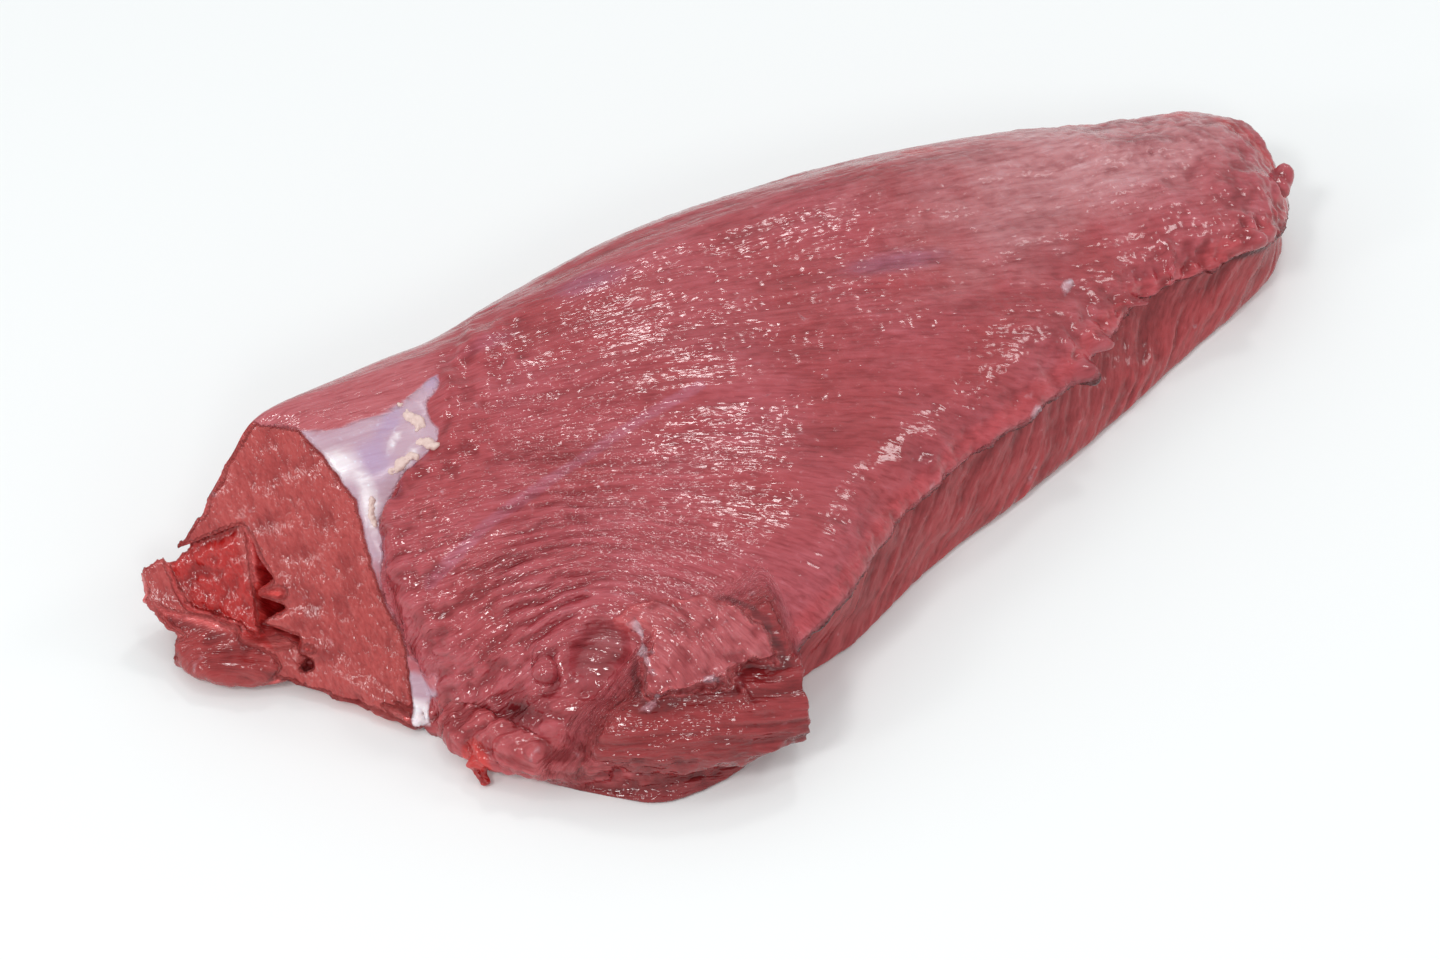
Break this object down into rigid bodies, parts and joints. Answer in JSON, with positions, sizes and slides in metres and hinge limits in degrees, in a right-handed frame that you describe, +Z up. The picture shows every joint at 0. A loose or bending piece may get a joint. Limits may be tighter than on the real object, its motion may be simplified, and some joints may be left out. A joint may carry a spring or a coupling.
{
  "type": "raw venison petite tender",
  "caption": "Raw venison petite tender: a long tapering red muscle with a slanted knife cut across its thick end and a torn lip along the front over a strip of bare muscle.",
  "frame": {"origin": "the middle of the footprint's bounding box, on the flat base", "axes": "+X runs from the knife cut at the thick end to the thin end, -Y is the front with the torn lip, +Z is up"},
  "size_m": [0.2204, 0.0995, 0.0407],
  "materials": {
    "meat": "moist raw muscle, dull red with a thin wet film",
    "silverskin": "moist translucent bluish white membrane over muscle",
    "fat": "soft cream pink fat"
  },
  "bodies": {
    "root": {"meat": "meat"}
  },
  "joints": []
}
